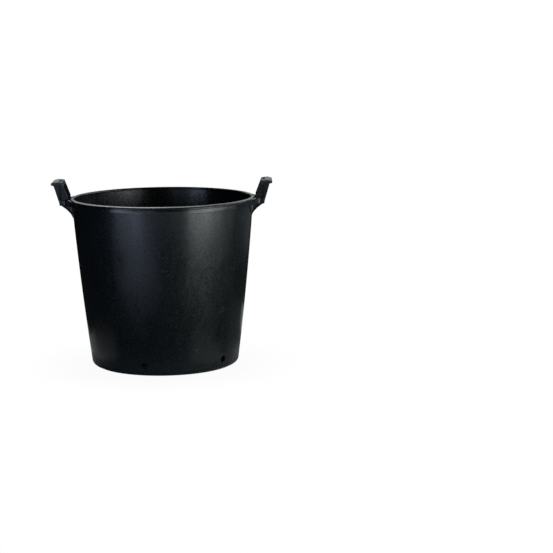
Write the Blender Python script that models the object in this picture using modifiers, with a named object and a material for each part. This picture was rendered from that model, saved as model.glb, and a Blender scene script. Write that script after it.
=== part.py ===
"""Handled florist bucket: a tapered round tub with a stepped rim and two upright moulded handles.

Units are metres, +Z is up. The origin is the centre of the base on the surface the bucket stands on,
and the two handles point along +X and -X.
"""
import math

import bmesh
import bpy
from mathutils import Matrix

# ---------------------------------------------------------------- driving dimensions

RIM_RADIUS = 0.200          # outer radius of the rounded lip
RIM_TOP = 0.363             # height of the lip above the ground
LIP_HEIGHT = 0.0045         # rounded lip, top to underside
LIP_WIDTH = 0.0100          # rounded lip, measured radially
LIP_CROWN = 0.1925          # radius where the lip's top starts to roll over
LIP_EDGE = 0.0030           # depth of the lip's outermost line below its top
BAND_HEIGHT = 0.0155        # lip and band together, from the lip's top to the band's lower edge
BAND_RADIUS = 0.1980        # outer radius of the band
GROOVE_DEPTH = 0.0015       # how far the groove between lip and band goes in
GROOVE_HEIGHT = 0.0020

WALL_THICKNESS = 0.0022
WALL_RADIUS_BASE = 0.1580   # outer radius of the wall's line carried on down to the ground
WALL_RADIUS_TOP = 0.1956    # outer radius of the wall's line carried on up to the lip's top
WALL_BULGE = 0.0025         # how far the wall's middle stands outside a straight taper
CORNER_RADIUS = 0.0100      # rounding between wall and floor, on the outside

FLOOR_BOTTOM = 0.0016       # underside of the floor above the ground
FOOT_OUTER = 0.1490
FOOT_INNER = 0.1340

DRAIN_RADIUS = 0.0073
DRAIN_HEIGHT = 0.0230       # height of the drain holes' centres
DRAIN_FIRST = math.radians(-103.6)
DRAIN_SPREAD = math.radians(65.7)   # between the two holes of a pair
DRAIN_PAIR = (DRAIN_FIRST, DRAIN_FIRST + DRAIN_SPREAD)
DRAIN_TURNS = DRAIN_PAIR + tuple(turn + math.pi for turn in DRAIN_PAIR)
DRAIN_FACETS = 20
DRAIN_ROD = 0.030           # length of the rod that cuts each hole

HANDLE_HALF_WIDTH = 0.0360  # half the length of the grip
BASE_HALF_WIDTH = 0.0315    # half the width of the handle base
BASE_OUTER_X = 0.2195       # outer face of the handle base
BASE_TOP = -0.0022          # handle heights are measured from the lip's top
BASE_BOTTOM = -0.0135
BASE_WALL = 0.0028
LEG_THICKNESS = 0.0080
LEG_LOW_OUTER_X = 0.2212    # outer face of the legs at the base
LEG_HIGH_OUTER_X = 0.2297   # and under the grip
LEG_HIGH_INNER_X = 0.2106   # inner face of the legs under the grip
LEG_BEND = 0.0035           # height where the legs' inner face leaves the rim and starts to lean out
GRIP_TOP = 0.0373
GRIP_BOTTOM = 0.0280
GRIP_INNER_X = (0.2110, 0.2140)         # inner face of the grip at its bottom and at its top
GRIP_OUTER_X = 0.2301                   # where its underside meets the turned-down lip
GRIP_PAD_X = 0.2215                     # where its top starts to fall towards the inner face
GRIP_INNER_TOP = 0.0363
LIP_OUTER_X = 0.2365                    # outermost face of the turned-down lip
LIP_FACE = (0.0312, 0.0344)             # bottom and top of that face
LIP_UNDERSIDE = ((0.2306, 0.0272), (0.2337, 0.0282))
LIP_SHOULDER_X = 0.2330
FLARE_CORNER_X = 0.2067     # where the flared side of the base meets the leg's side face
FLARE_BLUNT = 0.22          # share of the flare left off where it would taper to nothing on the rim
FLARE_TAIL = (0.0040, 0.0010)
FLANGE_THICKNESS = 0.0028
FLANGE_BEND = (0.1975, -0.0255)         # control point of the flange's curve
FLANGE_END = -0.0390        # height where the curved flange runs out on the wall
FLANGE_BITE = 0.0010        # how far the curve's end lies inside the wall's face, before trimming
FLANGE_LIP = 0.0005
GUSSET_THICKNESS = 0.0030
GUSSET_INSET = 0.0025       # how far the webs stand behind the flange's ends
GUSSET_INNER_X = 0.1850     # inside the wall, before trimming

TRIM_LOW = 0.2500           # heights between which the handle parts are trimmed to the tub
TRIM_HEADROOM = 0.0200      # and above the lip

GAP = 0.0003                # clearance between neighbouring solids
MERGE = 0.00001             # welding distance for meshes
ROUND_STEPS = 96            # facets round the bucket
WALL_STEPS = 5              # straight stretches in the wall's curve
CORNER_STEPS = 3
BEAD_STEPS = 6
FLANGE_STEPS = 7
SMOOTH_ANGLE = math.radians(35.0)

BLACK_PLASTIC = (0.016, 0.018, 0.019, 1.0)
PALE_GRIP = (0.035, 0.037, 0.038, 1.0)

SIDES = {"left": -1.0, "right": 1.0}
ENDS = {"front": -1.0, "rear": 1.0}


# ---------------------------------------------------------------- scene, collections, materials

def clear_scene():
    for old in list(bpy.context.scene.objects):
        bpy.data.objects.remove(old, do_unlink=True)


def new_collection(name):
    group = bpy.data.collections.new(name)
    bpy.context.scene.collection.children.link(group)
    return group


def plastic(name, colour, roughness):
    material = bpy.data.materials.new(name)
    material.use_nodes = True
    shader = material.node_tree.nodes["Principled BSDF"]
    shader.inputs["Base Color"].default_value = colour
    shader.inputs["Roughness"].default_value = roughness
    shader.inputs["Metallic"].default_value = 0.0
    return material


def finish_part(obj, group, colour=BLACK_PLASTIC, roughness=0.42):
    """Put a part in the bucket's collection with its own material and smooth shading."""
    group.objects.link(obj)
    obj.data.materials.append(plastic(obj.name + "_plastic", colour, roughness))
    obj.data.shade_smooth()
    obj.data.set_sharp_from_angle(angle=SMOOTH_ANGLE)
    return obj


def finish_cutter(obj, group):
    group.objects.link(obj)
    obj.hide_render = True
    obj.display_type = "WIRE"
    return obj


# ---------------------------------------------------------------- shape builders

def wall_radius(height):
    """Outer radius of the tapered, slightly convex wall at a height above the ground."""
    share = height / RIM_TOP
    taper = WALL_RADIUS_BASE + (WALL_RADIUS_TOP - WALL_RADIUS_BASE) * share
    return taper + WALL_BULGE * 4.0 * share * (1.0 - share)


def turned(name, profile, closed=True):
    """Revolve a profile of (radius, height) points, which runs down its outer side."""
    mesh = bpy.data.meshes.new(name)
    points = [(radius, 0.0, height) for radius, height in profile]
    edges = [(i, i + 1) for i in range(len(points) - 1)]
    if closed:
        edges.append((len(points) - 1, 0))
    mesh.from_pydata(points, edges, [])
    obj = bpy.data.objects.new(name, mesh)
    screw = obj.modifiers.new("turn", "SCREW")
    screw.steps = ROUND_STEPS
    screw.render_steps = ROUND_STEPS
    screw.use_merge_vertices = True
    screw.merge_threshold = MERGE
    screw.use_smooth_shade = True
    return obj


def extruded(name, outline, thickness):
    """A flat outline given a thickness about its own plane, as a welded mesh."""
    curve = bpy.data.curves.new(name + "_outline", "CURVE")
    curve.dimensions = "2D"
    curve.fill_mode = "BOTH"
    curve.extrude = thickness / 2.0
    spline = curve.splines.new("POLY")
    spline.points.add(len(outline) - 1)
    for point, (x, y) in zip(spline.points, outline):
        point.co = (x, y, 0.0, 1.0)
    spline.use_cyclic_u = True
    guide = bpy.data.objects.new(name + "_outline", curve)
    bpy.context.scene.collection.objects.link(guide)
    depsgraph = bpy.context.evaluated_depsgraph_get()
    mesh = bpy.data.meshes.new_from_object(guide.evaluated_get(depsgraph))
    mesh.name = name
    welded = bmesh.new()
    welded.from_mesh(mesh)
    bmesh.ops.remove_doubles(welded, verts=welded.verts, dist=MERGE)
    bmesh.ops.recalc_face_normals(welded, faces=welded.faces)
    welded.to_mesh(mesh)
    welded.free()
    bpy.data.objects.remove(guide, do_unlink=True)
    return bpy.data.objects.new(name, mesh)


def upright(name, outline, thickness, y):
    """An outline drawn in the X-Z plane, with its thickness along Y."""
    obj = extruded(name, outline, thickness)
    obj.rotation_euler = (math.radians(90.0), 0.0, 0.0)
    obj.location = (0.0, y, 0.0)
    return obj


def cut(obj, cutter, name):
    boolean = obj.modifiers.new(name, "BOOLEAN")
    boolean.operation = "DIFFERENCE"
    boolean.solver = "EXACT"
    boolean.object = cutter
    return obj


def leaned(obj, rise, shift):
    """Shear an upright plate along Y, so that it moves by shift over a height of rise."""
    shear = Matrix.Identity(4)
    shear[2][1] = -shift / rise
    obj.data.transform(shear)
    return obj


def mirrored(outline, side):
    """Outline points for a side of the bucket, with heights measured from the ground."""
    return [(side * x, RIM_TOP + height) for x, height in outline]


# ---------------------------------------------------------------- tub

def corner_arc(radius, centre):
    """Quarter-round points from the wall down to the floor."""
    points = []
    for step in range(CORNER_STEPS + 1):
        angle = math.radians(90.0) * step / CORNER_STEPS
        points.append((centre[0] + radius * math.cos(angle), centre[1] - radius * math.sin(angle)))
    return points


def wall_line(low, high, inset):
    """Points down the wall's curve from a high level to a low one."""
    points = []
    for step in range(WALL_STEPS + 1):
        height = high + (low - high) * step / WALL_STEPS
        points.append((wall_radius(height) - inset, height))
    return points


def build_wall(group, cutters):
    low = FLOOR_BOTTOM + CORNER_RADIUS
    top = RIM_TOP - BAND_HEIGHT - GAP
    corner = (wall_radius(low) - CORNER_RADIUS, low)
    outside = wall_line(low, top, 0.0)[:-1]
    outside += corner_arc(CORNER_RADIUS, corner)
    inside = wall_line(low, top, WALL_THICKNESS)[:-1]
    inside += corner_arc(CORNER_RADIUS - WALL_THICKNESS, corner)
    wall = turned("tub_wall", outside + inside[::-1])
    for index in range(len(DRAIN_TURNS)):
        cut(wall, drain_cutter(index, cutters), "drain_hole_%d" % (index + 1))
    return finish_part(wall, group)


def drain_cutter(index, cutters):
    """A radial rod that pierces the wall at one drain hole."""
    angle = DRAIN_TURNS[index]
    rod = bmesh.new()
    bmesh.ops.create_cone(
        rod,
        cap_ends=True,
        segments=DRAIN_FACETS,
        radius1=DRAIN_RADIUS,
        radius2=DRAIN_RADIUS,
        depth=DRAIN_ROD,
    )
    mesh = bpy.data.meshes.new("drain_cutter_%d" % (index + 1))
    rod.to_mesh(mesh)
    rod.free()
    cutter = bpy.data.objects.new(mesh.name, mesh)
    cutter.rotation_euler = (0.0, math.radians(90.0), angle)
    reach = wall_radius(DRAIN_HEIGHT)
    cutter.location = (reach * math.cos(angle), reach * math.sin(angle), DRAIN_HEIGHT)
    return finish_cutter(cutter, cutters)


def build_floor(group):
    centre_height = FLOOR_BOTTOM + CORNER_RADIUS
    edge = wall_radius(centre_height) - CORNER_RADIUS - GAP
    low, high = FLOOR_BOTTOM, FLOOR_BOTTOM + WALL_THICKNESS
    floor = turned("tub_floor", [(0.0, high), (edge, high), (edge, low), (0.0, low)], closed=False)
    return finish_part(floor, group)


def build_foot_ring(group):
    top = FLOOR_BOTTOM - GAP
    profile = [(FOOT_OUTER, top), (FOOT_OUTER, 0.0), (FOOT_INNER, 0.0), (FOOT_INNER, top)]
    return finish_part(turned("foot_ring", profile), group)


def build_rim_band(group):
    top = RIM_TOP - LIP_HEIGHT - GAP
    bottom = RIM_TOP - BAND_HEIGHT
    groove = BAND_RADIUS - GROOVE_DEPTH
    groove_bottom = top - GROOVE_HEIGHT
    profile = [
        (groove, top),
        (groove, groove_bottom),
        (BAND_RADIUS, groove_bottom - GROOVE_DEPTH / 2.0),
        (BAND_RADIUS, bottom),
        (wall_radius(bottom) - WALL_THICKNESS, bottom),
        (wall_radius(top) - WALL_THICKNESS, top),
    ]
    return finish_part(turned("rim_band", profile), group)


def build_rim_bead(group):
    bottom = RIM_TOP - LIP_HEIGHT
    under = LIP_HEIGHT - LIP_EDGE
    profile = []
    for step in range(BEAD_STEPS + 1):
        angle = math.radians(90.0) * step / BEAD_STEPS
        roll = (RIM_RADIUS - LIP_CROWN) * math.sin(angle)
        profile.append((LIP_CROWN + roll, RIM_TOP - LIP_EDGE * (1.0 - math.cos(angle))))
    for angle in (math.radians(30.0), math.radians(60.0), math.radians(90.0)):
        x = RIM_RADIUS - under * (1.0 - math.cos(angle))
        profile.append((x, RIM_TOP - LIP_EDGE - under * math.sin(angle)))
    profile.append((wall_radius(bottom) - WALL_THICKNESS, bottom))
    profile.append((RIM_RADIUS - LIP_WIDTH, RIM_TOP - LIP_HEIGHT / 2.0))
    profile.append((RIM_RADIUS - LIP_WIDTH + under / 2.0, RIM_TOP))
    return finish_part(turned("rim_bead", profile), group)


# ---------------------------------------------------------------- handles

def tub_cutter(cutters):
    """A solid a hair larger than the tub's outside, which trims the handle parts to it."""
    clear = 2.0 * GAP
    high = RIM_TOP + TRIM_HEADROOM
    band_low = RIM_TOP - BAND_HEIGHT - GAP
    profile = [(0.0, high), (RIM_RADIUS + GAP, high), (RIM_RADIUS + GAP, band_low)]
    for radius, height in wall_line(TRIM_LOW, band_low, 0.0):
        profile.append((radius + clear, height))
    profile.append((0.0, TRIM_LOW))
    return finish_cutter(turned("tub_cutter", profile, closed=False), cutters)


def flange_curve():
    """The flange's underside from the base's outer lower edge to where it runs out on the wall."""
    start = (BASE_OUTER_X, BASE_BOTTOM)
    end = (wall_radius(RIM_TOP + FLANGE_END) - FLANGE_BITE, FLANGE_END)
    points = []
    for step in range(FLANGE_STEPS + 1):
        t = step / FLANGE_STEPS
        first, middle, last = (1.0 - t) ** 2, 2.0 * t * (1.0 - t), t ** 2
        x = first * start[0] + middle * FLANGE_BEND[0] + last * end[0]
        z = first * start[1] + middle * FLANGE_BEND[1] + last * end[1]
        points.append((x, z))
    return points


def beside(near, far, distance):
    """The far end of a short stretch, moved square to the stretch, to the upper side."""
    run = math.hypot(far[0] - near[0], far[1] - near[1])
    across = ((far[1] - near[1]) / run, -(far[0] - near[0]) / run)
    return (far[0] + across[0] * distance, far[1] + across[1] * distance)


def flare_outline():
    """Half of the base's plan: the flared side, then the leg's side face, as (x, y) with y > 0."""
    inner = RIM_RADIUS + GAP
    corner = (FLARE_CORNER_X, BASE_HALF_WIDTH)
    reach = math.hypot(*corner)
    tangent = math.atan2(corner[1], corner[0]) + math.acos(inner / reach)
    start = (inner * math.cos(tangent), inner * math.sin(tangent))
    x = start[0] + (corner[0] - start[0]) * FLARE_BLUNT
    y = start[1] + (corner[1] - start[1]) * FLARE_BLUNT
    return (x, y), corner


def build_base(side_name, side, group, cutters, tub):
    """The flared frame that carries the handle out from the rim, open at the top like a pocket."""
    blunt, corner = flare_outline()
    tail = (blunt[0] - FLARE_TAIL[0], blunt[1] + FLARE_TAIL[1])
    half = [tail, blunt, corner, (BASE_OUTER_X, BASE_HALF_WIDTH)]
    outline = half + [(x, -y) for x, y in half[::-1]]
    depth = BASE_TOP - BASE_BOTTOM
    base = extruded("handle_%s_base" % side_name, [(side * x, y) for x, y in outline], depth)
    base.location = (0.0, 0.0, RIM_TOP + (BASE_TOP + BASE_BOTTOM) / 2.0)
    inner, outer = RIM_RADIUS - LIP_WIDTH, BASE_OUTER_X - BASE_WALL
    reach = BASE_HALF_WIDTH - BASE_WALL
    pocket = [(inner, -reach), (outer, -reach), (outer, reach), (inner, reach)]
    hollow = extruded("pocket_cutter_%s" % side_name, [(side * x, y) for x, y in pocket], 2.0 * depth)
    hollow.location = base.location
    cut(base, finish_cutter(hollow, cutters), "pocket")
    cut(base, tub, "clear_of_tub")
    return finish_part(base, group)


def build_legs(side_name, side, group):
    low, high = BASE_TOP + GAP, GRIP_BOTTOM - GAP
    inner = RIM_RADIUS + 2.0 * GAP
    outline = [
        (inner, low),
        (LEG_LOW_OUTER_X, low),
        (LEG_HIGH_OUTER_X, high),
        (LEG_HIGH_INNER_X, high),
        (inner, LEG_BEND),
    ]
    rise = high - low
    spread = HANDLE_HALF_WIDTH - BASE_HALF_WIDTH
    for end_name, end in ENDS.items():
        name = "handle_%s_leg_%s" % (side_name, end_name)
        leg = upright(name, [(side * x, height - low) for x, height in outline], LEG_THICKNESS, 0.0)
        leaned(leg, rise, end * spread)
        leg.location = (0.0, end * (BASE_HALF_WIDTH - LEG_THICKNESS / 2.0), RIM_TOP + low)
        finish_part(leg, group)


def build_grip(side_name, side, group):
    """The bar across the handle's top, with a lip turned down along its outer edge."""
    outline = [
        (GRIP_INNER_X[0], GRIP_BOTTOM),
        (GRIP_OUTER_X, GRIP_BOTTOM),
        *LIP_UNDERSIDE,
        (LIP_OUTER_X, LIP_FACE[0]),
        (LIP_OUTER_X, LIP_FACE[1]),
        (LIP_SHOULDER_X, GRIP_TOP),
        (GRIP_PAD_X, GRIP_TOP),
        (GRIP_INNER_X[1], GRIP_INNER_TOP),
    ]
    name = "handle_%s_grip" % side_name
    grip = upright(name, mirrored(outline, side), 2.0 * HANDLE_HALF_WIDTH, 0.0)
    return finish_part(grip, group, PALE_GRIP, 0.55)


def build_apron(side_name, side, group, tub):
    """The curved flange that runs from under the base down into the wall."""
    under = [(x, z - GAP) for x, z in flange_curve()]
    ceiling = BASE_BOTTOM - GAP
    top = [(under[0][0] - FLANGE_LIP, ceiling)]
    for near, far in zip(under, under[1:]):
        x, z = beside(near, far, FLANGE_THICKNESS)
        top.append((x, min(z, ceiling)))
    name = "handle_%s_apron" % side_name
    apron = upright(name, mirrored(under + top[::-1], side), 2.0 * BASE_HALF_WIDTH, 0.0)
    cut(apron, tub, "clear_of_tub")
    return finish_part(apron, group)


def build_gussets(side_name, side, group, tub):
    """Two webs that fill the corner between base, flange and wall."""
    ceiling = BASE_BOTTOM - GAP
    curve = flange_curve()
    edge = []
    for near, far in zip(curve, curve[1:]):
        x, z = beside(near, far, FLANGE_THICKNESS + GAP)
        if z - GAP < ceiling - GAP:
            edge.append((x, z - GAP))
    outline = [(GUSSET_INNER_X, ceiling), (edge[0][0], ceiling)]
    outline += edge
    outline.append((GUSSET_INNER_X, edge[-1][1]))
    for end_name, end in ENDS.items():
        y = end * (BASE_HALF_WIDTH - GUSSET_INSET - GUSSET_THICKNESS / 2.0)
        name = "handle_%s_gusset_%s" % (side_name, end_name)
        gusset = upright(name, mirrored(outline, side), GUSSET_THICKNESS, y)
        cut(gusset, tub, "clear_of_tub")
        finish_part(gusset, group)


# ---------------------------------------------------------------- assembly

def main():
    clear_scene()
    bucket = new_collection("florist_bucket")
    cutters = new_collection("cutters")
    build_wall(bucket, cutters)
    build_floor(bucket)
    build_foot_ring(bucket)
    build_rim_band(bucket)
    build_rim_bead(bucket)
    tub = tub_cutter(cutters)
    for side_name, side in SIDES.items():
        build_base(side_name, side, bucket, cutters, tub)
        build_legs(side_name, side, bucket)
        build_grip(side_name, side, bucket)
        build_apron(side_name, side, bucket, tub)
        build_gussets(side_name, side, bucket, tub)


main()
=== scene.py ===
import math

import bmesh
import bpy
from mathutils import Matrix, Vector


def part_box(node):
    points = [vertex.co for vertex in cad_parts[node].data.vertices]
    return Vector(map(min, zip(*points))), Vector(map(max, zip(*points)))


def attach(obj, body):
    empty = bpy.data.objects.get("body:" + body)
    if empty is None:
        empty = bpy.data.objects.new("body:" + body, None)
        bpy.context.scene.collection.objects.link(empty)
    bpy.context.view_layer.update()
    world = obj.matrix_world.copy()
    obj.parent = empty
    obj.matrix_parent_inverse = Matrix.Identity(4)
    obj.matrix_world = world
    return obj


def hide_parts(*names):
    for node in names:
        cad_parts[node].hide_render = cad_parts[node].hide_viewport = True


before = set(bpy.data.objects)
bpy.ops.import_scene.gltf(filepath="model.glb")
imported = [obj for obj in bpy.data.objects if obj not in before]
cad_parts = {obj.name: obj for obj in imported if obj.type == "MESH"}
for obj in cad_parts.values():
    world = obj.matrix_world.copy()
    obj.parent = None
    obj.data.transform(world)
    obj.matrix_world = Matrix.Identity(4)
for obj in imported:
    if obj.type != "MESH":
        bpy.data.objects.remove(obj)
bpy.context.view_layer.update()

# ---------------------------------------------------------------- sizes, in metres, from the frame

RIM_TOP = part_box("rim_bead")[1].z
RIM_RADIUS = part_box("rim_bead")[1].x
BAND_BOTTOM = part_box("rim_band")[0].z
BAND_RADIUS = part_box("rim_band")[1].x
WALL_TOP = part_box("tub_wall")[1].z
FLOOR_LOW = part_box("tub_floor")[0].z
FLOOR_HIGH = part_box("tub_floor")[1].z
FLOOR_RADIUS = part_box("tub_floor")[1].x
FOOT_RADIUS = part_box("foot_ring")[1].x
GRIP_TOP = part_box("handle_right_grip")[1].z
GRIP_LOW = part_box("handle_right_grip")[0].z
GRIP_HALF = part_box("handle_right_grip")[1].y
LIP_OUTER_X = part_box("handle_right_grip")[1].x
BASE_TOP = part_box("handle_right_base")[1].z
BASE_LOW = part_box("handle_right_base")[0].z
BASE_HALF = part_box("handle_right_apron")[1].y
FLANGE_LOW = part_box("handle_right_apron")[0].z

# ---------------------------------------------------------------- sizes of the tub's visible detail

WALL_THICKNESS = FLOOR_HIGH - FLOOR_LOW
WALL_RADIUS_BASE = 0.1580   # the wall's outer line carried on down to the ground
WALL_RADIUS_RIM = 0.1956    # and up to the lip's top
WALL_BULGE = 0.0025         # how far the wall's middle stands outside a straight taper
CORNER_RADIUS = 0.0100
LIP_HEIGHT = 0.0045
LIP_WIDTH = 0.0100
LIP_CROWN = 0.1925          # radius where the lip's top starts to roll over
LIP_EDGE = 0.0030           # depth of the lip's outermost line below its top
LIP_INSIDE = 0.0040         # height of the curve on its inner side
GROOVE_RADIUS = 0.1950      # floor of the groove between lip and band
WALL_INTO_RIM = 0.0015      # how far the wall runs up inside the rim's band
FOOT_WIDTH = 0.0135
FOOT_INTO_FLOOR = 0.0010    # how far the foot ring runs up into the floor
BOSS_RADIUS = 0.0060        # gate boss in the middle of the floor
BOSS_HEIGHT = 0.0012
FLOOR_STEP_RADIUS = 0.1180  # shallow step near the floor's edge
FLOOR_STEP = 0.0004
FLOOR_INTO_WALL = 0.0008
BAND_SOFT = 0.0006          # rounding of the band's edges
DRAIN_RADIUS = 0.0073
DRAIN_HEIGHT = 0.0230       # height of the drain holes' centres
DRAIN_SOFT = 0.0007         # rounding of their edges
DRAIN_FIRST = math.radians(-103.6)
DRAIN_SPREAD = math.radians(65.7)   # between the two holes of a pair
DRAIN_PAIR = (DRAIN_FIRST, DRAIN_FIRST + DRAIN_SPREAD)
DRAIN_TURNS = DRAIN_PAIR + tuple(turn + math.pi for turn in DRAIN_PAIR)

ROUND_STEPS = 240           # facets round the axis
WALL_ROWS = 44
CORNER_STEPS = 12
DRAIN_SEGMENTS = 40
MERGE = 0.00001


# ---------------------------------------------------------------- mesh helpers

def new_object(name, mesh):
    obj = bpy.data.objects.new(name, mesh)
    bpy.context.scene.collection.objects.link(obj)
    return obj


def baked(obj, name):
    """The object with its modifiers applied, as a plain mesh."""
    depsgraph = bpy.context.evaluated_depsgraph_get()
    mesh = bpy.data.meshes.new_from_object(obj.evaluated_get(depsgraph))
    mesh.name = name
    bpy.data.objects.remove(obj, do_unlink=True)
    return new_object(name, mesh)


def smooth(obj, angle=38.0):
    obj.data.shade_smooth()
    obj.data.set_sharp_from_angle(angle=math.radians(angle))
    return obj


def wall_radius(height):
    """Outer radius of the tapered, slightly convex wall."""
    share = height / RIM_TOP
    taper = WALL_RADIUS_BASE + (WALL_RADIUS_RIM - WALL_RADIUS_BASE) * share
    return taper + WALL_BULGE * 4.0 * share * (1.0 - share)


def arc(centre, radius, start, end, steps):
    """Points on an arc, angles in degrees."""
    points = []
    for step in range(steps + 1):
        angle = math.radians(start + (end - start) * step / steps)
        points.append((centre[0] + radius * math.cos(angle), centre[1] + radius * math.sin(angle)))
    return points


def curve(start, bend, end, steps):
    """Points on a curve that leaves start towards bend and arrives at end from bend."""
    points = []
    for step in range(steps + 1):
        t = step / steps
        shares = ((1.0 - t) ** 2, 2.0 * t * (1.0 - t), t ** 2)
        points.append(tuple(sum(share * point[k] for share, point in zip(shares, (start, bend, end)))
                            for k in range(len(start))))
    return points


def turned(name, profile, closed=True):
    """Revolve a profile of (radius, height) points, which runs down its outer side."""
    mesh = bpy.data.meshes.new(name)
    edges = [(i, i + 1) for i in range(len(profile) - 1)]
    if closed:
        edges.append((len(profile) - 1, 0))
    mesh.from_pydata([(radius, 0.0, height) for radius, height in profile], edges, [])
    obj = new_object(name, mesh)
    screw = obj.modifiers.new("turn", "SCREW")
    screw.steps = ROUND_STEPS
    screw.render_steps = ROUND_STEPS
    screw.use_merge_vertices = True
    screw.merge_threshold = MERGE
    return smooth(baked(obj, name))


def loft(shape, rings):
    """Add the closed solid through a list of rings of points to a bmesh."""
    rings = [[shape.verts.new(point) for point in ring] for ring in rings]
    shape.faces.new(rings[0])
    shape.faces.new(rings[-1][::-1])
    count = len(rings[0])
    for near, far in zip(rings, rings[1:]):
        for i in range(count):
            j = (i + 1) % count
            shape.faces.new((near[j], near[i], far[i], far[j]))


def prism(shape, outline, along, low, high, lean=None):
    """Add the prism of a closed outline to a bmesh.

    along "z": the outline is (x, y); along "y": it is (x, z). lean(z) moves points along Y.
    """
    rings = []
    for level in (low, high):
        ring = [Vector((u, v, level)) if along == "z" else Vector((u, level, v)) for u, v in outline]
        for point in ring:
            point.y += lean(point.z) if lean else 0.0
        rings.append(ring)
    loft(shape, rings)


# ---------------------------------------------------------------- tub

def wall_points(inset, low, high):
    """Points down the wall, inset from its outer face."""
    points = []
    for step in range(WALL_ROWS + 1):
        height = high + (low - high) * step / WALL_ROWS
        points.append((wall_radius(height) - inset, height))
    return points


def drain_cutter():
    """Rods for the drain holes, flared at the wall's outer face so that each hole has a soft edge."""
    rods = bmesh.new()
    face = wall_radius(DRAIN_HEIGHT)
    stations = [
        (face - 0.012, DRAIN_RADIUS - 0.0003),
        (face - DRAIN_SOFT, DRAIN_RADIUS - 0.0001),
        (face - 0.35 * DRAIN_SOFT, DRAIN_RADIUS + 0.25 * DRAIN_SOFT),
        (face + 0.2 * DRAIN_SOFT, DRAIN_RADIUS + DRAIN_SOFT),
        (face + 0.006, DRAIN_RADIUS + 7.0 * DRAIN_SOFT),
    ]
    for turn in DRAIN_TURNS:
        outwards = Matrix.Rotation(turn, 4, "Z")
        rings = []
        for reach, radius in stations:
            circle = arc((0.0, DRAIN_HEIGHT), radius, 0.0, 360.0, DRAIN_SEGMENTS)[:-1]
            rings.append([outwards @ Vector((reach, y, z)) for y, z in circle])
        loft(rods, rings)
    bmesh.ops.recalc_face_normals(rods, faces=rods.faces)
    mesh = bpy.data.meshes.new("drain_cutter")
    rods.to_mesh(mesh)
    rods.free()
    return new_object("drain_cutter", mesh)


def make_wall():
    """The tapered wall with its rounded bottom corner and drain holes."""
    centre_height = FLOOR_LOW + CORNER_RADIUS
    centre_radius = wall_radius(centre_height) - CORNER_RADIUS
    centre = (centre_radius, centre_height)
    outside = wall_points(0.0, centre_height, WALL_TOP + WALL_INTO_RIM)[:-1]
    outside += arc(centre, CORNER_RADIUS, 0.0, -90.0, CORNER_STEPS)
    inside = wall_points(WALL_THICKNESS, centre_height, WALL_TOP + WALL_INTO_RIM)[:-1]
    inside += arc(centre, CORNER_RADIUS - WALL_THICKNESS, 0.0, -90.0, CORNER_STEPS)
    wall = turned("wall", outside + inside[::-1])
    cutter = drain_cutter()
    boolean = wall.modifiers.new("drain_holes", "BOOLEAN")
    boolean.operation = "DIFFERENCE"
    boolean.solver = "EXACT"
    boolean.object = cutter
    wall = smooth(baked(wall, "wall"))
    bpy.data.objects.remove(cutter, do_unlink=True)
    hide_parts("tub_wall")
    return wall


def make_floor():
    """The floor disc, with a shallow step and a small gate boss in the middle."""
    edge = FLOOR_RADIUS + FLOOR_INTO_WALL
    boss_top = FLOOR_HIGH + BOSS_HEIGHT
    step_low = FLOOR_HIGH - FLOOR_STEP
    top = [(0.0, boss_top), (BOSS_RADIUS, boss_top), (BOSS_RADIUS + BOSS_HEIGHT, FLOOR_HIGH)]
    top += [(FLOOR_STEP_RADIUS, FLOOR_HIGH), (FLOOR_STEP_RADIUS + 0.0012, step_low), (edge, step_low)]
    under = [(edge, FLOOR_LOW + FLOOR_STEP), (0.0, FLOOR_LOW + FLOOR_STEP)]
    floor = turned("floor", top + under, closed=False)
    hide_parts("tub_floor")
    return floor


def make_foot():
    """The low ring that the tub stands on."""
    inner = FOOT_RADIUS - FOOT_WIDTH
    top = FLOOR_LOW + FOOT_INTO_FLOOR
    soft = 0.0007
    profile = [(FOOT_RADIUS, top)]
    profile += arc((FOOT_RADIUS - soft, soft), soft, 0.0, -90.0, 4)
    profile += arc((inner + soft, soft), soft, -90.0, -180.0, 4)
    profile += [(inner, top)]
    foot = turned("foot", profile)
    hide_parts("foot_ring")
    return foot


def make_rim_band():
    """The band under the lip, with the groove above it."""
    top = RIM_TOP - LIP_HEIGHT + 0.0010
    groove_low = RIM_TOP - LIP_HEIGHT - 0.0020
    shoulder = BAND_RADIUS - BAND_SOFT
    profile = [(GROOVE_RADIUS, top), (GROOVE_RADIUS, groove_low)]
    profile += arc((shoulder, groove_low - BAND_SOFT), BAND_SOFT, 80.0, 0.0, 5)
    profile += arc((shoulder, BAND_BOTTOM + BAND_SOFT), BAND_SOFT, 0.0, -90.0, 5)
    profile += [(wall_radius(BAND_BOTTOM) - 0.0012, BAND_BOTTOM)]
    profile += [(wall_radius(BAND_BOTTOM) - WALL_THICKNESS, BAND_BOTTOM - 0.0006)]
    profile += [(wall_radius(top) - WALL_THICKNESS, top)]
    band = turned("rim_band_skin", profile)
    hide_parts("rim_band")
    return band


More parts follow.
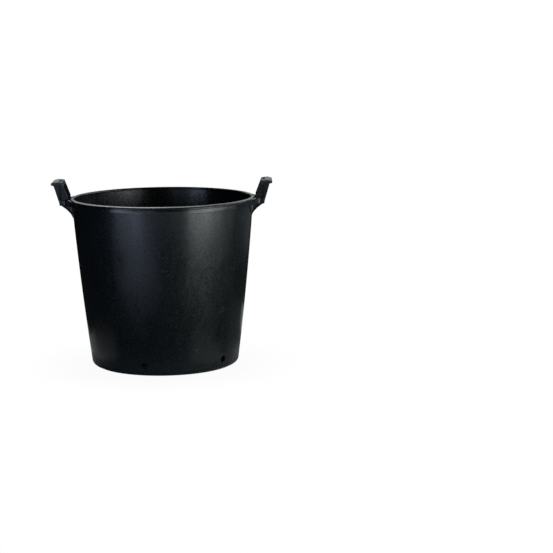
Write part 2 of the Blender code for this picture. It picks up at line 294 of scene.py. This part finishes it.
def make_rim_bead():
    """The lip: its top rolls over to both sides in broad curves."""
    under = LIP_HEIGHT - LIP_EDGE
    profile = []
    for step in range(19):
        angle = math.radians(90.0) * step / 18
        x = LIP_CROWN + (RIM_RADIUS - LIP_CROWN) * math.sin(angle)
        profile.append((x, RIM_TOP - LIP_EDGE * (1.0 - math.cos(angle))))
    profile += arc((RIM_RADIUS - under, RIM_TOP - LIP_EDGE), under, 0.0, -90.0, 8)[1:]
    inner = RIM_RADIUS - LIP_WIDTH
    profile += [(GROOVE_RADIUS - 0.0002, RIM_TOP - LIP_HEIGHT)]
    profile += [(inner + 0.0012, RIM_TOP - LIP_HEIGHT - 0.0010), (inner + 0.0004, RIM_TOP - LIP_HEIGHT)]
    for step in range(12):
        angle = math.radians(90.0) * step / 12
        x = LIP_CROWN - (LIP_CROWN - inner) * math.cos(angle)
        profile.append((x, RIM_TOP - LIP_INSIDE * (1.0 - math.sin(angle))))
    bead = turned("rim_lip", profile)
    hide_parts("rim_bead")
    return bead


# ---------------------------------------------------------------- handles, drawn for the right side

CREASE_X = 0.2177           # upright step on the legs' sides
LEG_WIDTH = 0.0080
LEG_STEP = 0.0018
LEG_RAMP = ((-0.0024, 0.0018), (-0.0011, 0.0007), (-0.0004, 0.0004), (0.0006, 0.00015), (0.0020, 0.0))
LEG_BEND = (0.2007, RIM_TOP + 0.0035)   # where a leg's inner edge turns up from the rim
LEG_INTO_GRIP = 0.0045
FILLET = 0.075              # share of the flare taken up by the fillet between flare and leg
FILLET_REACH = 0.0042
FILLET_STEPS = 8
CHEEK_PAST_CREASE = 0.0012
GROOVE_X = (0.2165, 0.2205) # groove along the grip's top, between its inner wall and the pad
GROOVE_DEEP = 0.0040
GRIP_INNER_LOW_X = 0.2108   # the bar's inner face at its underside
GRIP_INNER_X = (0.2126, 0.2139)         # the inner wall's face, low and at the top
GRIP_OUTER_LOW_X = 0.2301   # the bar's outer face at its underside
BLOCK_X = 0.2325            # outer face of the block under the pad
BLOCK_TOP_X = 0.2304
GRIP_BEAD = 0.0033          # radius of the bead turned down outside
GRIP_END = 0.0035           # length of the closed ends of the groove
PAD_X = (0.2207, 0.2302)
PAD_HEIGHT = 0.0020
PAD_SLOPE = 0.0004
PAD_INSET = 0.0015
SKIN = 0.0026               # wall thickness of the handles' base and webs
BURIED = 0.0012             # how far an edge runs into the wall behind it
BURIED_X = 0.1865           # inside the wall, behind the flange and the webs
GUSSET_INSET = 0.0014
GUSSET_FILLET = 0.0036
GUSSET_FILLET_STEPS = 6
FLARE_CORNER_X = 0.2067
KNEE = (0.2186, RIM_TOP - 0.0122)       # where a leg's outer edge meets the flange
FLANGE_BEND = (0.1972, RIM_TOP - 0.0252)
FLANGE_STEPS = 16
VOXEL = 0.0005              # cell of the skin laid over the handles' solids
LOOP_ROUNDING = 6           # smoothing passes
GRIP_ROUNDING = 4
SKIN_KEEP = 0.35            # share of the skin's faces that is kept


def flange_curve():
    """The underside of the curved flange, from the knee to where it runs out on the wall."""
    end = (wall_radius(FLANGE_LOW) - BURIED, FLANGE_LOW)
    return curve(KNEE, FLANGE_BEND, end, FLANGE_STEPS)


def offset_points(points, distance):
    """A polyline moved sideways, to the left of its direction."""
    moved = []
    for i, (x, y) in enumerate(points):
        before = points[max(i - 1, 0)]
        after = points[min(i + 1, len(points) - 1)]
        along_x, along_y = after[0] - before[0], after[1] - before[1]
        run = math.hypot(along_x, along_y)
        moved.append((x - along_y / run * distance, y + along_x / run * distance))
    return moved


def flare_points():
    """Half of the base's outline in plan: tangent point on the rim, corner by the leg, outer corner."""
    inner = BAND_RADIUS
    corner = (FLARE_CORNER_X, BASE_HALF)
    reach = math.hypot(*corner)
    tangent = math.atan2(corner[1], corner[0]) + math.acos(inner / reach)
    return (inner * math.cos(tangent), inner * math.sin(tangent)), corner


def add_base(shape):
    """The flared sides, solid where they run into the rim, and the open-topped pocket's outer walls."""
    tangent, corner = flare_points()
    hidden = BAND_RADIUS - 0.0015
    low, high = BASE_LOW - 0.0006, BASE_TOP
    reach = BASE_HALF - SKIN
    start = math.degrees(math.asin(reach / hidden))
    end = math.degrees(math.atan2(tangent[1], tangent[0]))
    inner = arc((0.0, 0.0), hidden, end, start, 12)
    wing = [tangent, corner, (corner[0] + SKIN, BASE_HALF), (corner[0] + SKIN, reach)] + inner[::-1]
    near = (corner[0] + (tangent[0] - corner[0]) * FILLET, corner[1] + (tangent[1] - corner[1]) * FILLET)
    far = (corner[0] + FILLET_REACH, BASE_HALF)
    fillet = [(corner[0] - 0.001, corner[1] - 0.001)] + curve(near, corner, far, FILLET_STEPS)
    face = CREASE_X + CHEEK_PAST_CREASE
    cheek = [(corner[0], BASE_HALF), (face, BASE_HALF), (face, reach), (corner[0], reach)]
    for outline in (wing, cheek, fillet):
        prism(shape, outline, "z", low, high)
        prism(shape, [(x, -y) for x, y in outline], "z", low, high)
    front = [(face - SKIN, -BASE_HALF), (face, -BASE_HALF), (face, BASE_HALF), (face - SKIN, BASE_HALF)]
    prism(shape, front, "z", low, high)


def add_apron(shape):
    """The curved flange under the base."""
    under = flange_curve()
    slope = Vector(under[-1]) - Vector(under[-2])
    under.append(tuple(Vector(under[-1]) + slope.normalized() * 0.003))
    top = offset_points(under, -SKIN)
    top[-1] = (BURIED_X, top[-1][1])
    prism(shape, under + top[::-1], "y", -BASE_HALF - 0.0006, BASE_HALF + 0.0006)


def add_gussets(shape):
    """The webs between base, flange and wall, each with a fillet where it meets the wall."""
    top = BASE_LOW + 0.002
    outline = flange_curve() + [(BURIED_X, FLANGE_LOW), (BURIED_X, top), (KNEE[0] - 0.001, top)]
    for end in (-1.0, 1.0):
        near = end * (BASE_HALF - GUSSET_INSET)
        far = end * (BASE_HALF - GUSSET_INSET - SKIN)
        prism(shape, outline, "y", min(near, far), max(near, far))
        rings = []
        for height in (FLANGE_LOW + 0.001, (FLANGE_LOW + BASE_LOW) / 2.0, BASE_LOW):
            face = math.sqrt(wall_radius(height) ** 2 - near ** 2)
            on_wall = (face - 0.0010, near + end * GUSSET_FILLET)
            ring = [(face - 0.0008, near - end * 0.0008)]
            ring += curve((face + GUSSET_FILLET, near), (face, near), on_wall, GUSSET_FILLET_STEPS)
            rings.append([Vector((x, y, height)) for x, y in ring])
        loft(shape, rings)


def leg_lean(end):
    """How far a leg's points move along Y with height, so that the loop widens upwards."""
    slope = (GRIP_HALF - BASE_HALF) / (GRIP_LOW - BASE_TOP)
    return lambda height: end * slope * (height - BASE_TOP)


def line_x(height, low, high):
    """X on the straight line through two (x, height) points."""
    return low[0] + (height - low[1]) * (high[0] - low[0]) / (high[1] - low[1])


def add_legs(shape):
    """Two legs; the outer facet of each side stands proud of the inner one behind a soft ramp."""
    high = GRIP_LOW + LEG_INTO_GRIP
    low = BASE_LOW + 0.001
    inner_top = (0.2136, GRIP_TOP - 0.0010)
    outer_top = (GRIP_OUTER_LOW_X, GRIP_LOW)
    inner_high = line_x(high, LEG_BEND, inner_top)
    inner_part = [(LEG_BEND[0], low), (CREASE_X, low), (CREASE_X, high), (inner_high, high), LEG_BEND]
    hidden = CREASE_X + LEG_RAMP[-1][0]
    outer_part = [(hidden, KNEE[1]), (line_x(KNEE[1], KNEE, outer_top) + 0.0002, KNEE[1]),
                  (line_x(high, KNEE, outer_top), high), (hidden, high)]
    for end in (-1.0, 1.0):
        lean = leg_lean(end)
        for outline, depth in ((inner_part, LEG_STEP), (outer_part, 0.0)):
            near = end * (BASE_HALF - depth)
            far = end * (BASE_HALF - LEG_WIDTH)
            prism(shape, outline, "y", min(near, far), max(near, far), lean)
        back = end * (BASE_HALF - LEG_WIDTH * 0.5)
        ramp = [(CREASE_X + x, end * (BASE_HALF - depth)) for x, depth in LEG_RAMP]
        ramp += [(ramp[-1][0], back), (ramp[0][0], back)]
        prism(shape, ramp, "z", KNEE[1], high, lean)


def add_grip(shape):
    """The bar: a thin inner wall, a narrow groove, the pad's block, and a bead turned down outside."""
    deep = GRIP_TOP - GROOVE_DEEP
    below = deep - 0.001
    body = [(GRIP_INNER_LOW_X, GRIP_LOW), (GRIP_OUTER_LOW_X, GRIP_LOW), (0.2318, GRIP_TOP - 0.0070),
            (BLOCK_X, deep), (0.2127, deep)]
    prism(shape, body, "y", -GRIP_HALF, GRIP_HALF)
    top = GRIP_TOP - 0.0010
    inner_low, inner_high = GRIP_INNER_X
    inner_wall = [(inner_low, below), (GROOVE_X[0], below), (GROOVE_X[0], top), (inner_high, top)]
    block_top = GRIP_TOP - 0.0006
    block = [(GROOVE_X[1], below), (BLOCK_X, below), (BLOCK_X + 0.0005, GRIP_TOP - 0.0036),
             (BLOCK_TOP_X, block_top), (GROOVE_X[1], block_top)]
    for outline in (inner_wall, block):
        prism(shape, outline, "y", -GRIP_HALF, GRIP_HALF)
    cap = [(inner_low, below), (BLOCK_TOP_X, below), (BLOCK_TOP_X, top), (inner_high, top)]
    prism(shape, cap, "y", -GRIP_HALF, -GRIP_HALF + GRIP_END)
    prism(shape, cap, "y", GRIP_HALF - GRIP_END, GRIP_HALF)
    centre = (LIP_OUTER_X - GRIP_BEAD, GRIP_TOP - 0.0048)
    prism(shape, arc(centre, GRIP_BEAD, 0.0, 345.0, 23), "y", -GRIP_HALF + 0.0005, GRIP_HALF - 0.0005)


def add_grip_pad(shape):
    """Raised anti-slip pad on top of the grip."""
    low, high = GRIP_TOP - PAD_HEIGHT, GRIP_TOP
    inner, outer = PAD_X
    section = [(inner, low), (outer, low), (outer - PAD_SLOPE, high), (inner + PAD_SLOPE, high)]
    prism(shape, section, "y", -GRIP_HALF + PAD_INSET, GRIP_HALF - PAD_INSET)


def moulded(name, builders, side, rounding):
    """Join the builders' solids into one skin with soft edges and fillets, for one side.

    The skin is kept out of the wall's inner half, so that nothing of a handle shows inside the tub.
    """
    shape = bmesh.new()
    for build in builders:
        build(shape)
    if side < 0:
        bmesh.ops.scale(shape, vec=(-1.0, 1.0, 1.0), verts=shape.verts)
        bmesh.ops.reverse_faces(shape, faces=shape.faces)
    bmesh.ops.recalc_face_normals(shape, faces=shape.faces)
    mesh = bpy.data.meshes.new(name)
    shape.to_mesh(mesh)
    shape.free()
    obj = new_object(name, mesh)
    remesh = obj.modifiers.new("skin", "REMESH")
    remesh.mode = "VOXEL"
    remesh.voxel_size = VOXEL
    soften = obj.modifiers.new("soften", "SMOOTH")
    soften.factor = 0.5
    soften.iterations = rounding
    thin = obj.modifiers.new("thin", "DECIMATE")
    thin.ratio = SKIN_KEEP
    obj = baked(obj, name)
    for vertex in obj.data.vertices:
        reach = math.hypot(vertex.co.x, vertex.co.y)
        inside = wall_radius(min(vertex.co.z, RIM_TOP)) - WALL_THICKNESS / 2.0
        if reach < inside:
            vertex.co.x *= inside / reach
            vertex.co.y *= inside / reach
    obj.data.shade_smooth()
    return obj


def make_handle(side_name, side):
    """One handle: its base, webs and legs as one skin, and its grip as another."""
    prefix = "handle_%s_" % side_name
    loop = moulded(prefix + "loop", (add_base, add_apron, add_gussets, add_legs), side, LOOP_ROUNDING)
    nodes = ["base", "apron", "gusset_front", "gusset_rear", "leg_front", "leg_rear"]
    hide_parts(*[prefix + node for node in nodes])
    grip = moulded(prefix + "grip_bar", (add_grip, add_grip_pad), side, GRIP_ROUNDING)
    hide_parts(prefix + "grip")
    return loop, grip


# ---------------------------------------------------------------- materials

NEAR_BLACK = (0.0031, 0.0041, 0.0045, 1.0)
DUSTY = (0.054, 0.066, 0.070, 1.0)
# pale grey of the grips' scratches and specks, and of the painted sheen on their pads
WORN_AND_SHEEN = (0.22, 0.225, 0.23, 1.0)
PLASTIC_IOR = 1.49
MOTTLE_SCALE = 330.0        # cells per metre of the moulding's mottle
GRAIN_SCALE = 620.0         # and of its grain
GRAIN_DEPTH = 0.00016
SPECK_SCALE = 115.0
SCRATCH_PALENESS = 0.55


def add_node(tree, kind, settings=None, **inputs):
    """A node with its settings and inputs; an input is a value or another node's output.

    An input's keyword is its name, with _ for a space, or i and its number.
    """
    node = tree.nodes.new(kind)
    for key, value in (settings or {}).items():
        setattr(node, key, value)
    for key, value in inputs.items():
        numbered = key[0] == "i" and key[1:].isdigit()
        socket = node.inputs[int(key[1:]) if numbered else key.replace("_", " ")]
        if isinstance(value, bpy.types.NodeSocket):
            tree.links.new(value, socket)
        else:
            socket.default_value = value
    return node


def noise(tree, where, scale, detail=2.0, roughness=0.5, distortion=0.0):
    return add_node(tree, "ShaderNodeTexNoise", Vector=where, Scale=scale, Detail=detail,
                    Roughness=roughness, Distortion=distortion).outputs[0]


def spread(tree, value, low, high, to_low=0.0, to_high=1.0):
    """The value's range low to high, carried over to another range."""
    return add_node(tree, "ShaderNodeMapRange", Value=value, From_Min=low, From_Max=high,
                    To_Min=to_low, To_Max=to_high).outputs[0]


def maths(tree, operation, first, second, clamp=False):
    settings = {"operation": operation, "use_clamp": clamp}
    return add_node(tree, "ShaderNodeMath", settings, i0=first, i1=second).outputs[0]


def mapped(tree, where, stretch, turn=(0.0, 0.0, 0.0)):
    return add_node(tree, "ShaderNodeMapping", Vector=where, Scale=stretch, Rotation=turn).outputs[0]


def hairlines(tree, where, scale, width, patch):
    """Thin wandering scratches: the places where a noise crosses its middle value, inside patches."""
    field = noise(tree, where, scale, 1.5, 0.5, 0.6)
    line = maths(tree, "ABSOLUTE", maths(tree, "SUBTRACT", field, 0.5), 0.0)
    line = spread(tree, line, width, 0.0)
    return maths(tree, "MULTIPLY", line, patch)


def wear_marks(tree, where, wear):
    """Scratches in two directions and specks of dust, both gathered in patches."""
    scratched = spread(tree, noise(tree, where, 13.0, 2.0), 0.52, 0.64)
    dusty = spread(tree, noise(tree, where, 7.0, 1.0), 0.50, 0.66)
    arcs = hairlines(tree, mapped(tree, where, (1.0, 1.0, 1.6), (0.5, 0.3, 0.0)), 20.0, 0.004, scratched)
    nicks = hairlines(tree, mapped(tree, where, (0.5, 0.5, 2.4), (0.15, 0.1, 0.0)), 34.0, 0.0035, scratched)
    scratches = maths(tree, "MULTIPLY", maths(tree, "ADD", arcs, nicks), SCRATCH_PALENESS)
    dots = add_node(tree, "ShaderNodeTexVoronoi", Vector=where, Scale=SPECK_SCALE).outputs["Distance"]
    specks = maths(tree, "MULTIPLY", spread(tree, dots, 0.13, 0.08), dusty)
    return maths(tree, "MULTIPLY", maths(tree, "ADD", scratches, specks, True), wear)


def pad_mask(tree, where):
    """1 on the anti-slip pads on top of the grips, 0 elsewhere: where their coarse grain and their painted
    sheen go.
    """
    axes = add_node(tree, "ShaderNodeSeparateXYZ", Vector=where).outputs
    reach = maths(tree, "ABSOLUTE", axes["X"], 0.0)
    inner, outer = PAD_X
    past_inner = spread(tree, reach, inner - 0.0004, inner + 0.0006)
    before_outer = spread(tree, reach, outer + 0.0008, outer - 0.0004)
    on_top = spread(tree, axes["Z"], GRIP_TOP - 0.0016, GRIP_TOP - 0.0004)
    return maths(tree, "MULTIPLY", maths(tree, "MULTIPLY", past_inner, before_outer), on_top)


def black_plastic(name, pale, rough, grain=1.0, wear=1.0, pad=False):
    """Satin black moulded plastic: fine grain, cloudy gloss, hairline scratches and a few specks of dust.

    pale is the colour of dust and scratches, and with pad also of a painted sheen. With pad, the top of a
    grip is coarse, and a painted sheen colours it pale.
    """
    material = bpy.data.materials.new(name)
    material.use_nodes = True
    tree = material.node_tree
    shader = tree.nodes["Principled BSDF"]
    where = add_node(tree, "ShaderNodeTexCoord").outputs["Object"]
    cloud = noise(tree, where, 9.0, 4.0, 0.6, 0.8)
    smear = noise(tree, mapped(tree, where, (1.0, 1.0, 0.35)), 46.0, 5.0, 0.65, 1.2)
    mottle = noise(tree, where, MOTTLE_SCALE, 3.0, 0.7)
    fine = noise(tree, where, GRAIN_SCALE, 2.0)
    tone = maths(tree, "MULTIPLY", spread(tree, mottle, 0.35, 0.70), 0.19)
    mix = maths(tree, "ADD", tone, wear_marks(tree, where, wear), True)
    gloss = spread(tree, smear, 0.30, 0.70, rough + 0.05, rough - 0.05)
    gloss = maths(tree, "ADD", gloss, spread(tree, cloud, 0.35, 0.65, -0.025, 0.025))
    gloss = maths(tree, "ADD", gloss, spread(tree, mottle, 0.30, 0.70, -0.035, 0.035))
    relief = maths(tree, "ADD", maths(tree, "MULTIPLY", mottle, 0.62), maths(tree, "MULTIPLY", fine, 0.45))
    if pad:
        inside = pad_mask(tree, where)
        # painted sheen: the pads' tops are coloured pale, standing in for light caught by their coarse
        # grain
        painted_sheen = maths(tree, "MULTIPLY", inside, spread(tree, fine, 0.35, 0.60, 0.35, 1.0))
        mix = maths(tree, "ADD", mix, maths(tree, "MULTIPLY", painted_sheen, 0.85), True)
        gloss = maths(tree, "ADD", gloss, maths(tree, "MULTIPLY", inside, 0.14))
        coarse = maths(tree, "MULTIPLY", maths(tree, "MULTIPLY", fine, inside), 1.6)
        relief = maths(tree, "ADD", relief, coarse)
    ramp = add_node(tree, "ShaderNodeValToRGB", Fac=mix)
    ramp.color_ramp.elements[0].color = NEAR_BLACK
    ramp.color_ramp.elements[1].color = pale
    bump = add_node(tree, "ShaderNodeBump", Strength=0.8, Distance=GRAIN_DEPTH * grain, Height=relief)
    tree.links.new(ramp.outputs[0], shader.inputs["Base Color"])
    tree.links.new(gloss, shader.inputs["Roughness"])
    tree.links.new(bump.outputs[0], shader.inputs["Normal"])
    shader.inputs["IOR"].default_value = PLASTIC_IOR
    return material


def paint(obj, material):
    """Give a piece its material and slot, and let it ride on the part's one body."""
    obj.data.materials.clear()
    obj.data.materials.append(material)
    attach(obj, "root")


# ---------------------------------------------------------------- stage, lights and camera

BOUNCE_FADE = (0.17, 0.30)  # distance from the axis over which the floor's bounce dies away
SHADE_FADE = (0.17, 0.34)   # and over which its soft shade does
FLOOR_REACH = 30.0
BACKDROP = (1.0, 1.0, 1.0, 1.0)
ROOM_TINT = (0.93, 1.0, 0.95, 1.0)
ROOM_LEVEL = 0.012


def fade(tree, reach, span, at_start, at_end):
    settings = {"interpolation_type": "SMOOTHSTEP"}
    return add_node(tree, "ShaderNodeMapRange", settings, Value=reach, From_Min=span[0], From_Max=span[1],
                    To_Min=at_start, To_Max=at_end).outputs[0]


def mixed_shader(tree, share, first, second):
    return add_node(tree, "ShaderNodeMixShader", i0=share, i1=first, i2=second).outputs[0]


def floor_material():
    """Pale floor: white with a faint shade to the camera, and a dim bounce near the tub to the plastic."""
    material = bpy.data.materials.new("pale_floor")
    material.use_nodes = True
    tree = material.node_tree
    tree.nodes.clear()
    output = tree.nodes.new("ShaderNodeOutputMaterial")
    where = add_node(tree, "ShaderNodeTexCoord").outputs["Object"]
    reach = add_node(tree, "ShaderNodeVectorMath", {"operation": "LENGTH"}, i0=where).outputs["Value"]
    near = fade(tree, reach, BOUNCE_FADE, 0.5, 0.02)
    unshaded = fade(tree, reach, SHADE_FADE, 0.0, 1.0)
    white = add_node(tree, "ShaderNodeBsdfDiffuse", Color=(0.93, 0.93, 0.93, 1.0)).outputs[0]
    glow = add_node(tree, "ShaderNodeEmission", Color=BACKDROP, Strength=1.0).outputs[0]
    shaded = mixed_shader(tree, 0.95, white, glow)
    seen = mixed_shader(tree, unshaded, shaded, glow)
    bounce = add_node(tree, "ShaderNodeBsdfDiffuse", Color=near).outputs[0]
    camera_ray = add_node(tree, "ShaderNodeLightPath").outputs["Is Camera Ray"]
    tree.links.new(mixed_shader(tree, camera_ray, bounce, seen), output.inputs["Surface"])
    return material


def make_stage():
    """The pale floor, and a world that is white to the camera and nearly dark to everything else."""
    shape = bmesh.new()
    bmesh.ops.create_circle(shape, cap_ends=True, radius=FLOOR_REACH, segments=64)
    mesh = bpy.data.meshes.new("pale_floor")
    shape.to_mesh(mesh)
    shape.free()
    floor = new_object("pale_floor", mesh)
    floor.data.materials.append(floor_material())
    world = bpy.data.worlds.new("studio")
    world.use_nodes = True
    tree = world.node_tree
    tree.nodes.clear()
    output = tree.nodes.new("ShaderNodeOutputWorld")
    backdrop = add_node(tree, "ShaderNodeBackground", Color=BACKDROP, Strength=1.0).outputs[0]
    room = add_node(tree, "ShaderNodeBackground", Color=ROOM_TINT, Strength=ROOM_LEVEL).outputs[0]
    camera_ray = add_node(tree, "ShaderNodeLightPath").outputs["Is Camera Ray"]
    tree.links.new(mixed_shader(tree, camera_ray, room, backdrop), output.inputs["Surface"])
    bpy.context.scene.world = world


BOX_REACH = 1.3             # distance of the upright softboxes from the tub's axis
POOL_HEIGHT = 0.003
ABOVE_REAR = Vector((0.0, 1.0, 1.9))
KEY = (0.94, 1.0, 0.99)
COOL = (0.90, 1.0, 1.12)
BLUE = (0.84, 1.0, 1.32)


def area_light(name, width, height, level, colour, place, facing):
    """A soft area light. level is how bright its face looks; facing is the way its face points."""
    light = bpy.data.lights.new(name, "AREA")
    light.shape = "RECTANGLE"
    light.size = width
    light.size_y = height
    light.energy = math.pi * width * height * level
    light.color = colour
    obj = bpy.data.objects.new(name, light)
    bpy.context.scene.collection.objects.link(obj)
    obj.location = place
    obj.rotation_euler = (-facing).to_track_quat("Z", "Y").to_euler()
    obj.visible_camera = False
    return obj


def compass(azimuth):
    """Level direction away from the tub. Azimuth 0 is the camera's side, + to its right."""
    turn = math.radians(azimuth + CAMERA_AZIMUTH)
    return Vector((math.sin(turn), -math.cos(turn), 0.0))


def standing_box(name, start, end, low, high, level, colour):
    """An upright softbox that fills the azimuths from start to end, at BOX_REACH from the tub."""
    away = compass((start + end) / 2.0)
    width = 2.0 * BOX_REACH * math.tan(math.radians((end - start) / 2.0))
    place = away * BOX_REACH + Vector((0.0, 0.0, (low + high) / 2.0))
    area_light(name, width, high - low, level, colour, place, -away)


def floor_pool(name, start, end, near, far, level, colour):
    """The patch of floor that a softbox lights up, as the tub's wall sees it."""
    away = compass((start + end) / 2.0)
    middle = (near + far) / 2.0
    width = 2.0 * middle * math.tan(math.radians((end - start) / 2.0))
    upwards = Vector((0.0, 0.0, 1.0))
    place = away * middle + upwards * POOL_HEIGHT
    light = area_light(name, width, far - near, level, colour, place, upwards)
    light.rotation_euler = (math.pi, 0.0, math.radians((start + end) / 2.0 + CAMERA_AZIMUTH))


CAMERA_AZIMUTH = 2.7        # degrees, towards the right handle
CAMERA_ELEVATION = 9.15
CAMERA_DISTANCE = 3.889
CAMERA_PAN = 3.643          # the bucket stands left of the picture's middle
CAMERA_TILT = -0.045
CAMERA_ROLL = -0.55
CAMERA_LENS = 116.27        # millimetres
CAMERA_SENSOR = 36.0


def make_camera():
    """The camera looks past the tub on its right, turned with it about the vertical axis."""
    data = bpy.data.cameras.new("camera")
    data.sensor_fit = "HORIZONTAL"
    data.sensor_width = CAMERA_SENSOR
    data.lens = CAMERA_LENS
    data.clip_start = 0.1
    data.clip_end = 100.0
    camera = bpy.data.objects.new("camera", data)
    bpy.context.scene.collection.objects.link(camera)
    elevation = math.radians(CAMERA_ELEVATION)
    tilt = math.radians(CAMERA_ELEVATION + CAMERA_TILT)
    pan = math.radians(CAMERA_PAN)
    roll = math.radians(CAMERA_ROLL)
    back, up = CAMERA_DISTANCE * math.cos(elevation), CAMERA_DISTANCE * math.sin(elevation)
    place = Vector((0.0, -back, RIM_TOP / 2.0 + up))
    ahead = Vector((math.sin(pan) * math.cos(tilt), math.cos(pan) * math.cos(tilt), -math.sin(tilt)))
    level = Vector((math.cos(pan), -math.sin(pan), 0.0))
    above = level.cross(ahead)
    right = level * math.cos(roll) + above * math.sin(roll)
    above = above * math.cos(roll) - level * math.sin(roll)
    turn = Matrix((right, above, -ahead)).transposed().to_4x4()
    swing = Matrix.Rotation(math.radians(CAMERA_AZIMUTH), 4, "Z")
    camera.matrix_world = swing @ Matrix.Translation(place) @ turn
    bpy.context.scene.camera = camera


def make_lights():
    """Bright light to the right, weaker blue light to the left, and weak light from behind and above.

    Each call gives the azimuths, then the heights or distances, the brightness and the tint.
    """
    low, middle, high, top = 0.2, 0.55, 1.1, 1.9
    standing_box("key_low", 30.0, 60.0, 0.0, low, 4.9, KEY)
    standing_box("key_low_far", 60.0, 75.0, 0.0, low, 2.0, KEY)
    standing_box("key_low_edge", 75.0, 95.0, 0.0, low, 0.53, KEY)
    standing_box("key_near", 30.0, 45.0, low, middle, 2.7, KEY)
    standing_box("key", 45.0, 60.0, low, middle, 4.9, COOL)
    standing_box("key_far", 60.0, 75.0, low, middle, 3.8, KEY)
    standing_box("key_edge", 75.0, 95.0, low, middle, 0.9, KEY)
    standing_box("key_upper", 70.0, 100.0, middle, high, 1.2, KEY)
    standing_box("right_upper", 100.0, 140.0, middle, high, 1.76, COOL)
    standing_box("right_top", 90.0, 140.0, high, top, 1.0, KEY)
    standing_box("right_low", 95.0, 150.0, 0.0, low, 0.135, COOL)
    standing_box("key_near_edge", 10.0, 30.0, 0.0, low, 0.8, COOL)
    standing_box("front_gap", -10.0, 10.0, 0.0, low, 0.53, COOL)
    standing_box("left_near", -25.0, -10.0, 0.0, middle, 0.6, BLUE)
    standing_box("left_low", -40.0, -25.0, 0.0, low, 2.3, BLUE)
    standing_box("left_middle", -40.0, -25.0, low, middle, 0.67, BLUE)
    standing_box("left_far", -60.0, -40.0, 0.0, low, 1.06, BLUE)
    standing_box("left_upper", -60.0, -40.0, low, middle, 3.0, BLUE)
    standing_box("left_rear_top", -150.0, -100.0, high, top, 0.3, COOL)
    standing_box("rear_upper", 150.0, 210.0, middle, high, 0.87, KEY)
    standing_box("rear_top_left", 180.0, 210.0, high, top, 3.0, COOL)
    standing_box("rear_top_right", 150.0, 180.0, high, top, 0.4, COOL)
    floor_pool("left_pool", -50.0, -10.0, 0.62, 1.15, 0.40, BLUE)
    floor_pool("left_pool_close", -100.0, -60.0, 0.20, 0.36, 0.15, KEY)
    floor_pool("left_pool_rear", -150.0, -100.0, 0.20, 0.36, 0.22, KEY)
    floor_pool("key_pool", 30.0, 50.0, 0.62, 1.15, 0.22, COOL)
    floor_pool("key_pool_far", 50.0, 90.0, 0.62, 1.15, 0.065, COOL)
    floor_pool("key_pool_close", 30.0, 60.0, 0.20, 0.36, 0.19, KEY)
    floor_pool("right_pool", 90.0, 130.0, 0.20, 0.62, 0.07, KEY)
    floor_pool("right_pool_rear", 130.0, 160.0, 0.20, 0.62, 0.5, KEY)
    floor_pool("rear_pool", 160.0, 200.0, 0.30, 1.15, 0.8, COOL)
    area_light("above_rear", 1.0, 1.0, 2.75, KEY, ABOVE_REAR, -ABOVE_REAR.normalized())


# ---------------------------------------------------------------- assembly

def main():
    bpy.context.scene.view_settings.view_transform = "Standard"
    wall_finish = black_plastic("wall_plastic", DUSTY, 0.27)
    rim_finish = black_plastic("rim_plastic", DUSTY, 0.24)
    handle_finish = black_plastic("handle_plastic", DUSTY, 0.34, grain=1.2)
    # the grips' pads carry a painted sheen: their tops are coloured pale
    grip_finish = black_plastic("grip_plastic", WORN_AND_SHEEN, 0.36, grain=1.2, wear=0.4, pad=True)
    for part in (make_wall(), make_floor(), make_foot()):
        paint(part, wall_finish)
    for part in (make_rim_band(), make_rim_bead()):
        paint(part, rim_finish)
    for side_name, side in (("left", -1.0), ("right", 1.0)):
        loop, grip = make_handle(side_name, side)
        paint(loop, handle_finish)
        paint(grip, grip_finish)
    make_stage()
    make_camera()
    make_lights()


main()
